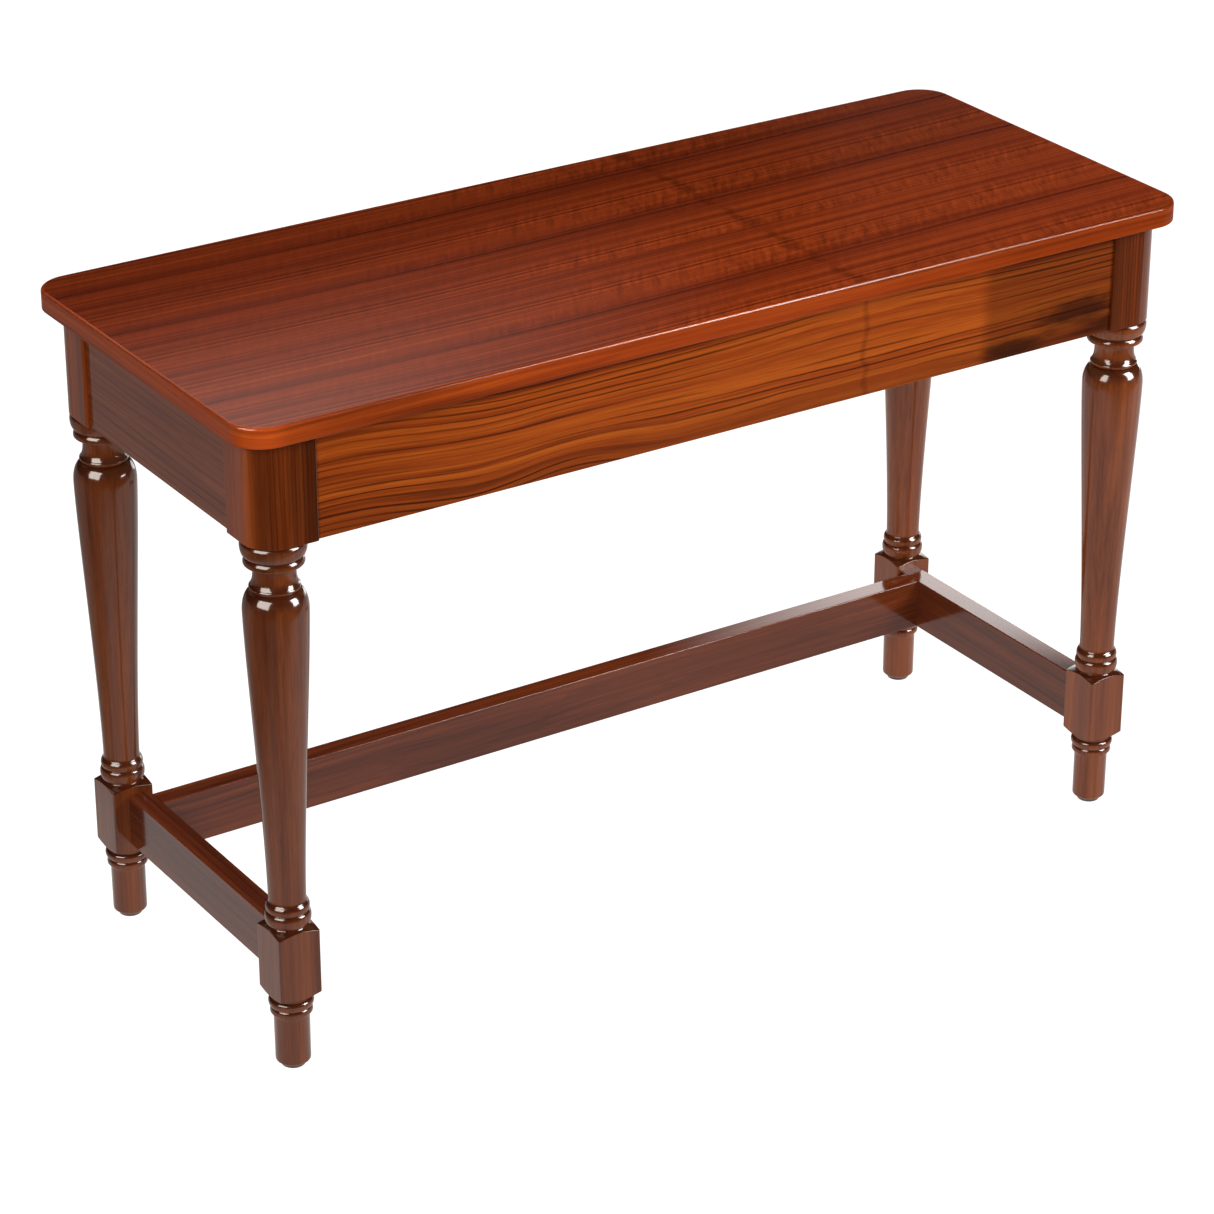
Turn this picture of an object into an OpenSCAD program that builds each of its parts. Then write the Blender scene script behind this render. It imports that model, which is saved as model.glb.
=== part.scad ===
// Piano bench with a hinged lid over a music compartment, on four turned legs.
// Millimetres. The floor is z = 0, the length runs along X and the hinge is at the rear, +Y.

/* [Top] */
// Length of the top
top_len = 790; // [770:5:850]
// Depth of the top, front to back
top_depth = 320; // [316:2:330]
// Thickness of the top
top_t = 15; // [14:0.5:18]
// Radius of the top's corners in plan
corner_r = 26; // [12:1:40]
// Height of the top's upper face above the floor
seat_h = 505; // [495:5:530]

/* [Case] */
// Half the distance between leg centres, left to right
leg_x = 360; // [350:1:370]
// Half the distance between leg centres, front to back
leg_y = 126.5; // [120:0.5:128]
// Height of the underside of the posts and aprons
case_z = 411; // [400:1:420]
// Width of the square corner posts
post_w = 46; // [46:1:50]
// Thickness of the apron boards with their veneer
apron_t = 15; // [14:1:18]
// How far the apron faces stand back from the post faces
apron_inset = 3; // [3:0.5:4]
// Thickness of the compartment's bottom board
bottom_t = 5; // [4:1:6]

/* [Legs] */
// Width of the square block where the stretchers meet the leg
block_w = 32.5; // [31:0.5:32.5]
// Height where the flats of the block begin
block_low = 62; // [60:1:64]
// Height where the flats of the block end
block_high = 111; // [108:1:112]

/* [Stretchers] */
// Thickness of the stretchers
stretcher_t = 17; // [15:1:18]
// Height of the stretchers' lower edge
stretcher_low = 66.5; // [66:0.5:68]
// Height of the stretchers' upper edge
stretcher_high = 107.5; // [104:0.5:107.5]
// Distance of the side stretchers' centre line from the bench's middle
side_stretcher_x = 355.5; // [354:0.5:357]
// Distance of the long stretcher's centre line behind the bench's middle
rear_stretcher_y = 95.5; // [80:0.5:96]

/* [Hinge] */
// Length of the continuous hinge
hinge_len = 640; // [560:10:660]
// Number of knuckles on the hinge
knuckles = 25; // [15:2:31]
// Outer radius of a knuckle
knuckle_r = 2.2; // [2.1:0.1:2.3]
// Radius of the hinge pin
pin_r = 1; // [0.9:0.1:1.1]

/* [Hidden] */
$fn = 96;

// Colours of the stained wood and the fittings
top_colour = [0.42, 0.17, 0.10];
edge_colour = [0.40, 0.15, 0.07];
apron_colour = [0.48, 0.22, 0.09];
post_colour = [0.38, 0.19, 0.09];
leg_colour = [0.33, 0.14, 0.08];
core_colour = [0.72, 0.56, 0.38];
brass_colour = [0.80, 0.62, 0.30];
steel_colour = [0.62, 0.62, 0.64];
felt_colour = [0.16, 0.20, 0.14];
glide_colour = [0.12, 0.09, 0.08];

// Lid
veneer_t = 0.6;
band_t = 1.5;
lid_gap = 1.5;
lid_z = seat_h - top_t;
core_z = lid_z + veneer_t;
core_t = top_t - 2 * veneer_t;

// Case
case_top = lid_z - lid_gap;
case_h = case_top - case_z;
post_r = post_w / 2;
apron_face_x = leg_x + post_r - apron_inset;
apron_face_y = leg_y + post_r - apron_inset;
apron_core_t = apron_t - veneer_t;
apron_half_x = leg_x - post_r;
apron_half_y = leg_y - post_r;
dowel_r = 4;
dowel_len = 30;
dowel_rise = 19;
dowel_pitch = 40;
ledger_w = 10;
ledger_rise = 2;
ledger_h = 10;
board_z = case_z + ledger_rise + ledger_h;
board_gap = 0.2;
pad_r = 6;
pad_t = 1.2;

// Joinery: a fit has this much room all round
fit = 0.05;
tenon_r = 10;
tenon_len = 40;
mortise_spare = 1;
flat_tenon_t = 8;
flat_tenon_h = 29;
side_tenon_len = 14;
rear_tenon_len = 10;

// Foot
glide_r = 9;
glide_t = 2.6;
nail_r = 0.9;
nail_low = 1;
nail_high = 16;

// Hinge: the axis lies just behind the rear apron and just under the lid
hinge_gap = 0.3;
leaf_t = 0.9;
axis_y = apron_face_y + knuckle_r + hinge_gap;
axis_z = lid_z - knuckle_r - hinge_gap;
knuckle_pitch = hinge_len / knuckles;
knuckle_gap = 0.4;
pin_fit = 0.03;
lid_leaf_w = 11;
case_leaf_w = 14;
leaf_back = 3;
leaf_drop = 2.5;
hinge_screws = 8;
hinge_screw_pitch = 80;
screw_r = 1.2;
screw_head_r = 2.2;
screw_len = 11;
lid_screw_y = axis_y - leaf_back - lid_leaf_w / 2;
case_screw_z = axis_z - leaf_drop - case_leaf_w / 2;

// Screws of the bottom board
board_screw_r = 1.4;
board_screw_head_r = 2.6;
board_screw_head_h = 1.6;
board_screw_len = 12;
board_screws_long = 5;
board_screw_pitch_long = 140;
board_screw_pitch_short = 120;

// ---- Outlines -------------------------------------------------------------------------

// Points along an ellipse's arc around centre c with half-axes r, from angle a to angle b
function ellipse_arc(c, r, a, b, n = 8) =
    [for (i = [0:n]) let (t = a + (b - a) * i / n) [c[0] + r[0] * cos(t), c[1] + r[1] * sin(t)]];

// Points along a cubic Bezier curve
function bezier(p, n = 12) =
    [for (i = [0:n]) let (t = i / n, u = 1 - t)
        u * u * u * p[0] + 3 * u * u * t * p[1] + 3 * u * t * t * p[2] + t * t * t * p[3]];

// Half-outline of the leg above the block, from the post down: [radius, height]
function upper_turning(top, low) = concat(
    [[0, top], [post_r - 2.1, top]],
    ellipse_arc([post_r - 2.8, top - 4.2], [2.8, 4.1], 75, 0, 5),
    ellipse_arc([post_r - 2.8, top - 4.2], [2.8, 7.6], -12, -75, 6),
    [[20.3, top - 11.7]],
    ellipse_arc([18.4, top - 17], [2.7, 5], 65, 0),
    ellipse_arc([18.4, top - 17], [2.7, 1.8], -15, -65, 4),
    [[15.7, top - 19]],
    bezier([[14.9, top - 20], [14.9, top - 30], [16, top - 32], [17.1, top - 33.6]], 8),
    ellipse_arc([15.4, top - 35.3], [2.4, 2], 30, -60, 6),
    [[16, top - 37.4]],
    ellipse_arc([16.4, top - 53], [6.5, 15.2], 85, 8, 10),
    bezier([[22.9, top - 53], [22.2, top - 96], [14.2, low + 94], [13.3, low + 26]], 20),
    bezier([[13.3, low + 25], [13.3, low + 23.5], [13.7, low + 22.4], [14.4, low + 22.2]], 5),
    ellipse_arc([13.8, low + 18.2], [1.8, 3.6], 60, -50),
    [[14.7, low + 15.2]],
    ellipse_arc([14.5, low + 10.5], [2, 4.6], 75, 0),
    ellipse_arc([14.5, low + 10.5], [2, 5.4], -10, -65, 6),
    [[14.2, low + 5.2], [13.7, low + 4], [0, low + 4]]
);

// Half-outline of the leg below the block, down to the foot's flat end
function lower_turning(high) = concat(
    [[0, high - 4], [13.8, high - 4], [13.8, high - 5.8], [15.6, high - 6.2]],
    [[16.2, high - 7], [15.5, high - 11.8], [14.6, high - 12.4]],
    ellipse_arc([13.6, high - 16.8], [1.6, 4], 70, 0),
    ellipse_arc([13.6, high - 16.8], [1.6, 1.6], -15, -65, 4),
    [[13.4, high - 18.6], [13.3, high - 19.8], [12.8, high - 20.4]],
    [[12.6, 5], [9.8, glide_t], [0, glide_t]]
);

// Half-outline of the turned shoulders that trim the square block's ends
function block_turning(low, high) =
    [[0, low - 4], [13.8, low - 4], [14.3, low - 3.4], [23.2, low],
     [23.2, high], [14.3, high + 3.4], [13.7, high + 4], [0, high + 4]];

module rounded_rect(len, depth, r) {
    square([len - 2 * r, depth], center = true);
    square([len, depth - 2 * r], center = true);
    for (sx = [-1, 1], sy = [-1, 1])
        translate([sx * (len / 2 - r), sy * (depth / 2 - r)])
            circle(r);
}

// ---- Helpers --------------------------------------------------------------------------

// Moves a part drawn for the right rear corner to the corner with these signs
module at_corner(sx, sy) {
    mirror([sx < 0 ? 1 : 0, 0, 0])
        mirror([0, sy < 0 ? 1 : 0, 0])
            children();
}

module every_corner() {
    for (sx = [-1, 1], sy = [-1, 1])
        at_corner(sx, sy)
            children();
}

// A block given by its lowest and highest corners
module span(low, high) {
    translate(low)
        cube(high - low);
}

// Countersunk screw, head at the origin and point towards +Z; grow makes the hole for it
module screw(len, r, head_r, head_h, grow = 0) {
    cylinder(h = len, r = r + grow);
    cylinder(h = head_h, r1 = head_r + grow, r2 = r + grow);
}

module slotted_screw(len, r, head_r, head_h) {
    difference() {
        screw(len, r, head_r, head_h);
        cube([2 * head_r, head_r / 4, head_h / 2], center = true);
    }
}

// ---- Lid ------------------------------------------------------------------------------

module at_hinge_screws() {
    for (i = [0:hinge_screws - 1])
        translate([(i - (hinge_screws - 1) / 2) * hinge_screw_pitch, 0, 0])
            children();
}

module lid_screw_holes() {
    at_hinge_screws()
        translate([0, lid_screw_y, lid_z - leaf_t])
            cylinder(h = screw_len + 1, r = screw_r + fit);
}

module lid_core() {
    color(core_colour)
        difference() {
            translate([0, 0, core_z])
                linear_extrude(core_t)
                    rounded_rect(top_len - 2 * band_t, top_depth - 2 * band_t, corner_r - band_t);
            lid_screw_holes();
        }
}

module lid_top_veneer() {
    color(top_colour)
        translate([0, 0, seat_h - veneer_t])
            linear_extrude(veneer_t)
                rounded_rect(top_len, top_depth, corner_r);
}

module lid_bottom_veneer() {
    color(core_colour)
        difference() {
            translate([0, 0, lid_z])
                linear_extrude(veneer_t)
                    rounded_rect(top_len, top_depth, corner_r);
            lid_screw_holes();
        }
}

module lid_edge_band() {
    color(edge_colour)
        translate([0, 0, core_z])
            linear_extrude(core_t)
                difference() {
                    rounded_rect(top_len, top_depth, corner_r);
                    rounded_rect(top_len - 2 * band_t, top_depth - 2 * band_t, corner_r - band_t);
                }
}

// ---- Hinge ----------------------------------------------------------------------------

// Knuckles with index first, first + 2, ... and the tab that joins each to its leaf
module hinge_knuckles(first) {
    for (i = [first:2:knuckles - 1])
        translate([-hinge_len / 2 + i * knuckle_pitch + knuckle_gap / 2, 0, 0]) {
            translate([0, axis_y, axis_z])
                rotate([0, 90, 0])
                    cylinder(h = knuckle_pitch - knuckle_gap, r = knuckle_r);
            children();
        }
}

module hinge_bore() {
    translate([-hinge_len / 2 - 1, axis_y, axis_z])
        rotate([0, 90, 0])
            cylinder(h = hinge_len + 2, r = pin_r + pin_fit);
}

module hinge_lid_leaf() {
    color(brass_colour)
        difference() {
            union() {
                span([-hinge_len / 2, axis_y - leaf_back - lid_leaf_w, lid_z - leaf_t],
                     [hinge_len / 2, axis_y - leaf_back, lid_z]);
                hinge_knuckles(1)
                    span([0, axis_y - leaf_back - 1, lid_z - leaf_t],
                         [knuckle_pitch - knuckle_gap, axis_y, lid_z]);
            }
            hinge_bore();
            at_hinge_screws()
                translate([0, lid_screw_y, lid_z - leaf_t])
                    screw(screw_len, screw_r, screw_head_r, leaf_t, fit);
        }
}

module hinge_case_leaf() {
    color(brass_colour)
        difference() {
            union() {
                span([-hinge_len / 2, apron_face_y, axis_z - leaf_drop - case_leaf_w],
                     [hinge_len / 2, apron_face_y + leaf_t, axis_z - leaf_drop]);
                hinge_knuckles(0)
                    span([0, apron_face_y, axis_z - leaf_drop - 1],
                         [knuckle_pitch - knuckle_gap, apron_face_y + leaf_t, axis_z]);
            }
            hinge_bore();
            at_hinge_screws()
                translate([0, apron_face_y + leaf_t, case_screw_z])
                    rotate([90, 0, 0])
                        screw(screw_len, screw_r, screw_head_r, leaf_t, fit);
        }
}

module hinge_pin() {
    color(brass_colour)
        translate([-hinge_len / 2, axis_y, axis_z])
            rotate([0, 90, 0])
                cylinder(h = hinge_len, r = pin_r);
}

module hinge_lid_screws() {
    color(brass_colour)
        at_hinge_screws()
            translate([0, lid_screw_y, lid_z - leaf_t])
                slotted_screw(screw_len, screw_r, screw_head_r, leaf_t);
}

module hinge_case_screws() {
    color(brass_colour)
        at_hinge_screws()
            translate([0, apron_face_y + leaf_t, case_screw_z])
                rotate([90, 0, 0])
                    slotted_screw(screw_len, screw_r, screw_head_r, leaf_t);
}

// ---- Case -----------------------------------------------------------------------------

// Dowels of one corner; grow makes the bores for them
module corner_dowels(grow = 0) {
    for (i = [0, 1])
        translate([0, 0, case_z + dowel_rise + i * dowel_pitch]) {
            translate([apron_half_x - dowel_len / 2 - grow, apron_face_y - apron_t / 2, 0])
                rotate([0, 90, 0])
                    cylinder(h = dowel_len + 2 * grow, r = dowel_r + grow);
            translate([apron_face_x - apron_t / 2, apron_half_y - dowel_len / 2 - grow, 0])
                rotate([-90, 0, 0])
                    cylinder(h = dowel_len + 2 * grow, r = dowel_r + grow);
        }
}

module apron_dowels() {
    color(core_colour)
        every_corner()
            corner_dowels();
}

// Corner post: square, with its outer corner rounded about the leg's own axis
module post() {
    color(post_colour)
        difference() {
            translate([leg_x, leg_y, case_z])
                linear_extrude(case_h)
                    union() {
                        circle(post_r);
                        translate([-post_r, -post_r])
                            square([post_w, post_r]);
                        translate([-post_r, -post_r])
                            square([post_r, post_w]);
                    }
            translate([leg_x, leg_y, case_z - 1])
                cylinder(h = tenon_len + mortise_spare + 1, r = tenon_r + fit);
            corner_dowels(fit);
        }
}

module front_left_post() { at_corner(-1, -1) post(); }
module front_right_post() { at_corner(1, -1) post(); }
module rear_left_post() { at_corner(-1, 1) post(); }
module rear_right_post() { at_corner(1, 1) post(); }

module case_screw_holes() {
    at_hinge_screws()
        translate([0, apron_face_y + leaf_t, case_screw_z])
            rotate([90, 0, 0])
                cylinder(h = screw_len + 1, r = screw_r + fit);
}

// Apron board along X behind its veneer, drawn for the rear side
module long_apron() {
    color(core_colour)
        difference() {
            span([-apron_half_x, apron_face_y - apron_t, case_z],
                 [apron_half_x, apron_face_y - veneer_t, case_top]);
            every_corner()
                corner_dowels(fit);
        }
}

// Apron board along Y behind its veneer, drawn for the right side
module short_apron() {
    color(core_colour)
        difference() {
            span([apron_face_x - apron_t, -apron_half_y, case_z],
                 [apron_face_x - veneer_t, apron_half_y, case_top]);
            every_corner()
                corner_dowels(fit);
        }
}

module long_veneer() {
    color(apron_colour)
        span([-apron_half_x, apron_face_y - veneer_t, case_z],
             [apron_half_x, apron_face_y, case_top]);
}

module short_veneer() {
    color(apron_colour)
        span([apron_face_x - veneer_t, -apron_half_y, case_z],
             [apron_face_x, apron_half_y, case_top]);
}

module front_apron() { at_corner(1, -1) long_apron(); }
module left_apron() { at_corner(-1, 1) short_apron(); }
module right_apron() { short_apron(); }
module front_apron_veneer() { at_corner(1, -1) long_veneer(); }
module left_apron_veneer() { at_corner(-1, 1) short_veneer(); }
module right_apron_veneer() { short_veneer(); }

module rear_apron() {
    difference() {
        long_apron();
        case_screw_holes();
    }
}

module rear_apron_veneer() {
    difference() {
        long_veneer();
        case_screw_holes();
    }
}

module lid_rest_pads() {
    color(felt_colour)
        every_corner()
            translate([leg_x, leg_y, case_top])
                cylinder(h = pad_t, r = pad_r);
}

// ---- Compartment bottom ---------------------------------------------------------------

module at_board_screws() {
    long_y = apron_face_y - apron_t - ledger_w / 2;
    short_x = apron_face_x - apron_t - ledger_w / 2;
    for (i = [0:board_screws_long - 1], sy = [-1, 1])
        translate([(i - (board_screws_long - 1) / 2) * board_screw_pitch_long, sy * long_y, 0])
            children();
    for (sx = [-1, 1], sy = [-1, 1])
        translate([sx * short_x, sy * board_screw_pitch_short / 2, 0])
            children();
}

module board_screw_holes() {
    at_board_screws()
        translate([0, 0, board_z + bottom_t])
            rotate([180, 0, 0])
                screw(board_screw_len + 0.5, board_screw_r, board_screw_head_r, board_screw_head_h, fit);
}

module bottom_screws() {
    color(steel_colour)
        at_board_screws()
            translate([0, 0, board_z + bottom_t])
                rotate([180, 0, 0])
                    slotted_screw(board_screw_len, board_screw_r, board_screw_head_r, board_screw_head_h);
}

module bottom_board() {
    half_x = apron_face_x - apron_t - board_gap;
    half_y = apron_face_y - apron_t - board_gap;
    notch_x = apron_half_x - board_gap;
    notch_y = apron_half_y - board_gap;
    color(core_colour)
        difference() {
            span([-half_x, -half_y, board_z], [half_x, half_y, board_z + bottom_t]);
            every_corner()
                span([notch_x, notch_y, board_z - 1], [half_x + 1, half_y + 1, board_z + bottom_t + 1]);
            board_screw_holes();
        }
}

module long_ledger() {
    back_y = apron_face_y - apron_t;
    color(core_colour)
        difference() {
            span([-apron_half_x + board_gap, back_y - ledger_w, board_z - ledger_h],
                 [apron_half_x - board_gap, back_y, board_z]);
            board_screw_holes();
        }
}

module short_ledger() {
    back_x = apron_face_x - apron_t;
    color(core_colour)
        difference() {
            span([back_x - ledger_w, -apron_half_y + board_gap, board_z - ledger_h],
                 [back_x, apron_half_y - board_gap, board_z]);
            board_screw_holes();
        }
}

module front_ledger() { at_corner(1, -1) long_ledger(); }
module rear_ledger() { long_ledger(); }
module left_ledger() { at_corner(-1, 1) short_ledger(); }
module right_ledger() { short_ledger(); }

// ---- Legs -----------------------------------------------------------------------------

// Flat tenon of a side stretcher where it enters the rear block; grow makes its mortise
module side_tenon(grow = 0) {
    mid_z = (stretcher_low + stretcher_high) / 2;
    start_y = leg_y - block_w / 2;
    span([side_stretcher_x - flat_tenon_t / 2 - grow, start_y - 1, mid_z - flat_tenon_h / 2 - grow],
         [side_stretcher_x + flat_tenon_t / 2 + grow,
          start_y + side_tenon_len + (grow > 0 ? mortise_spare : 0),
          mid_z + flat_tenon_h / 2 + grow]);
}

module leg() {
    color(leg_colour)
        difference() {
            translate([leg_x, leg_y, 0])
                union() {
                    translate([0, 0, case_z])
                        cylinder(h = tenon_len, r = tenon_r);
                    rotate_extrude()
                        polygon(upper_turning(case_z, block_high));
                    intersection() {
                        rotate_extrude()
                            polygon(block_turning(block_low, block_high));
                        translate([-block_w / 2, -block_w / 2, 0])
                            cube([block_w, block_w, case_z]);
                    }
                    rotate_extrude()
                        polygon(lower_turning(block_low));
                }
            side_tenon(fit);
            translate([leg_x, leg_y, 0])
                cylinder(h = nail_high + mortise_spare, r = nail_r + fit);
        }
}

module front_left_leg() { at_corner(-1, -1) leg(); }
module front_right_leg() { at_corner(1, -1) leg(); }
module rear_left_leg() { at_corner(-1, 1) leg(); }
module rear_right_leg() { at_corner(1, 1) leg(); }

module glide() {
    color(glide_colour)
        translate([leg_x, leg_y, 0])
            difference() {
                cylinder(h = glide_t, r = glide_r);
                translate([0, 0, nail_low])
                    cylinder(h = glide_t, r = nail_r + fit);
            }
}

module front_left_glide() { at_corner(-1, -1) glide(); }
module front_right_glide() { at_corner(1, -1) glide(); }
module rear_left_glide() { at_corner(-1, 1) glide(); }
module rear_right_glide() { at_corner(1, 1) glide(); }

module glide_nails() {
    color(steel_colour)
        every_corner()
            translate([leg_x, leg_y, nail_low])
                cylinder(h = nail_high - nail_low, r = nail_r);
}

// ---- Stretchers -----------------------------------------------------------------------

// Tenon of the long stretcher where it enters the right stretcher; grow makes its mortise
module rear_tenon(grow = 0) {
    mid_z = (stretcher_low + stretcher_high) / 2;
    face_x = side_stretcher_x - stretcher_t / 2;
    span([face_x - 1, rear_stretcher_y - flat_tenon_t / 2 - grow, mid_z - flat_tenon_h / 2 - grow],
         [face_x + rear_tenon_len + (grow > 0 ? mortise_spare : 0),
          rear_stretcher_y + flat_tenon_t / 2 + grow,
          mid_z + flat_tenon_h / 2 + grow]);
}

module side_stretcher() {
    half_y = leg_y - block_w / 2;
    color(leg_colour)
        difference() {
            union() {
                span([side_stretcher_x - stretcher_t / 2, -half_y, stretcher_low],
                     [side_stretcher_x + stretcher_t / 2, half_y, stretcher_high]);
                for (sy = [-1, 1])
                    at_corner(1, sy)
                        side_tenon();
            }
            rear_tenon(fit);
        }
}

module left_stretcher() { at_corner(-1, 1) side_stretcher(); }
module right_stretcher() { side_stretcher(); }

module rear_stretcher() {
    half_x = side_stretcher_x - stretcher_t / 2;
    color(leg_colour)
        union() {
            span([-half_x, rear_stretcher_y - stretcher_t / 2, stretcher_low],
                 [half_x, rear_stretcher_y + stretcher_t / 2, stretcher_high]);
            for (sx = [-1, 1])
                at_corner(sx, 1)
                    rear_tenon();
        }
}

// ---- Nodes ----------------------------------------------------------------------------

lid_core();
lid_top_veneer();
lid_bottom_veneer();
lid_edge_band();
hinge_lid_leaf();
hinge_lid_screws();
hinge_case_leaf();
hinge_case_screws();
hinge_pin();
front_left_post();
front_right_post();
rear_left_post();
rear_right_post();
front_apron();
rear_apron();
left_apron();
right_apron();
front_apron_veneer();
rear_apron_veneer();
left_apron_veneer();
right_apron_veneer();
apron_dowels();
lid_rest_pads();
bottom_board();
front_ledger();
rear_ledger();
left_ledger();
right_ledger();
bottom_screws();
front_left_leg();
front_right_leg();
rear_left_leg();
rear_right_leg();
left_stretcher();
right_stretcher();
rear_stretcher();
front_left_glide();
front_right_glide();
rear_left_glide();
rear_right_glide();
glide_nails();
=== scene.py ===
"""Piano bench with a hinged lid: the looks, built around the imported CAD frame.

Lengths are in metres, apart from the outline of the legs, which is in millimetres.
"""
import math

import bpy
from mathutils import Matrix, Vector


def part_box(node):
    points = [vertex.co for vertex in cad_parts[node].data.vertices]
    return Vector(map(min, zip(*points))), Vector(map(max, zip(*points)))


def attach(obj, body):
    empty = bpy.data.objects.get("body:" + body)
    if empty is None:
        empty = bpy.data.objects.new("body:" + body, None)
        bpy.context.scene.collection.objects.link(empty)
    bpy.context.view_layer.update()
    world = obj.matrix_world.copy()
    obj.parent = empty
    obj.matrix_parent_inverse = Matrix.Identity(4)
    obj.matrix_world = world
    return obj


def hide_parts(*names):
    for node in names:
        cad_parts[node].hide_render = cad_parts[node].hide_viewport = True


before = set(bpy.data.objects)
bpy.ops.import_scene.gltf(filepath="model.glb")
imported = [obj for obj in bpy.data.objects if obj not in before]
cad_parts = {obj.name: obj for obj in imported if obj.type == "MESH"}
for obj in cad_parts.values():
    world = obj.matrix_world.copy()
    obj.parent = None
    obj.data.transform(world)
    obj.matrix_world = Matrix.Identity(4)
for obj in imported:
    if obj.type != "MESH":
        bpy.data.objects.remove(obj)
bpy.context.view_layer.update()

MM = 0.001

# The four corners of a rectangle, anticlockwise, as signs of its two coordinates
QUADRANTS = ((1, 1), (-1, 1), (-1, -1), (1, -1))
# The corners of the bench in the same order, with the signs of x and y
CORNERS = (
    ("rear_right", 1, 1),
    ("rear_left", -1, 1),
    ("front_left", -1, -1),
    ("front_right", 1, -1),
)
SIDES = ("front", "rear", "left", "right")

# Edge treatment of the joinery
LID_CORNER = 26 * MM
LID_FILLET = 2.0 * MM
LID_LOWER_EASE = 0.8 * MM
POST_ARRIS = 1.5 * MM
POST_END_EASE = 0.4 * MM
STRETCHER_ARRIS = 0.8 * MM
VENEER_ARRIS = 0.2 * MM
BUTTED_END_EASE = 0.05 * MM
SMALLEST_RADIUS = 0.02 * MM

# How far the top veneer stops short of the lid's outline
VENEER_INSET = 2.2 * MM

# Heights on the leg where the square block's flats end, and the block's size, in millimetres
BLOCK_LOW = 62.0
BLOCK_HIGH = 111.0
BLOCK_HALF = 16.25
BLOCK_ARRIS = 1.0
BLOCK_CORNER_R = 23.2
SHOULDER_R = 14.3
SHOULDER_H = 3.4
SHOULDER_EASE = 0.5

# Radius where the ends of a turned shape close: of the legs in millimetres, and of the small discs
LEG_MIDDLE_R = 0.3
DISC_MIDDLE_R = 0.2 * MM


# ---- Mesh helpers ------------------------------------------------------------------------

def arc(centre, radii, start, end, steps):
    """Points along an ellipse's arc, from angle start to angle end in degrees."""
    points = []
    for i in range(steps + 1):
        angle = math.radians(start + (end - start) * i / steps)
        points.append((centre[0] + radii[0] * math.cos(angle),
                       centre[1] + radii[1] * math.sin(angle)))
    return points


def bezier(a, b, c, d, steps):
    """Points along a cubic Bezier curve."""
    points = []
    for i in range(steps + 1):
        t = i / steps
        weights = ((1 - t) ** 3, 3 * (1 - t) ** 2 * t, 3 * (1 - t) * t * t, t ** 3)
        points.append(tuple(sum(w * p[k] for w, p in zip(weights, (a, b, c, d)))
                            for k in (0, 1)))
    return points


def outline(half_u, half_v, radii, inset=0.0, steps=8):
    """Points round a rectangle, anticlockwise, whose corners have these radii, moved in by inset."""
    points = []
    for k, (su, sv) in enumerate(QUADRANTS):
        radius = max(radii[k] - inset, SMALLEST_RADIUS)
        centre = (su * (half_u - inset - radius), sv * (half_v - inset - radius))
        points += arc(centre, (radius, radius), 90 * k, 90 * k + 90, steps)
    return points


def ring_mesh(name, rings, material, body, joined=False):
    """A smooth mesh through rings of points; the end rings are filled, or joined to each other."""
    sharp_angle = math.radians(40)
    count = len(rings[0])
    faces = []
    for i in range(len(rings) if joined else len(rings) - 1):
        a, b = i * count, (i + 1) % len(rings) * count
        faces += [(a + j, a + (j + 1) % count, b + (j + 1) % count, b + j) for j in range(count)]
    if not joined:
        faces.append(tuple(reversed(range(count))))
        faces.append(tuple(range((len(rings) - 1) * count, len(rings) * count)))
    mesh = bpy.data.meshes.new(name)
    mesh.from_pydata([point for ring in rings for point in ring], [], faces)
    mesh.materials.append(material)
    mesh.shade_smooth()
    mesh.set_sharp_from_angle(angle=sharp_angle)
    piece = bpy.data.objects.new(name, mesh)
    bpy.context.scene.collection.objects.link(piece)
    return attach(piece, body)


def weigh_normals(piece):
    """Keeps the large flat faces flat beside their rounded edges."""
    modifier = piece.modifiers.new("flat_faces", "WEIGHTED_NORMAL")
    modifier.keep_sharp = True
    return piece


def placed(axis, u, v, w):
    """The point that is w along an axis and (u, v) across it."""
    return {"x": (w, u, v), "y": (v, w, u), "z": (u, v, w)}[axis]


def eased_bar(name, low, high, axis, radii, end_ease, material, body, steps=8):
    """A bar along an axis between two corners, with rounded long edges and eased ends.

    radii has one radius per long edge, and steps is how many faces round each of them.
    """
    index = "xyz".index(axis)
    across = [(index + 1) % 3, (index + 2) % 3]
    middle = [(low[k] + high[k]) / 2 for k in across]
    half = [(high[k] - low[k]) / 2 for k in across]
    quarter_turn = [math.radians(22.5 * i) for i in range(5)]
    ends = [(end_ease * (1 - math.sin(t)), end_ease * (1 - math.cos(t))) for t in quarter_turn]
    stations = [(inset, low[index] + run) for inset, run in ends]
    stations += [(inset, high[index] - run) for inset, run in reversed(ends)]
    rings = []
    for inset, w in stations:
        points = outline(half[0], half[1], radii, inset, steps)
        rings.append([placed(axis, middle[0] + u, middle[1] + v, w) for u, v in points])
    return weigh_normals(ring_mesh(name, rings, material, body))


# ---- Material helpers --------------------------------------------------------------------

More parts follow.
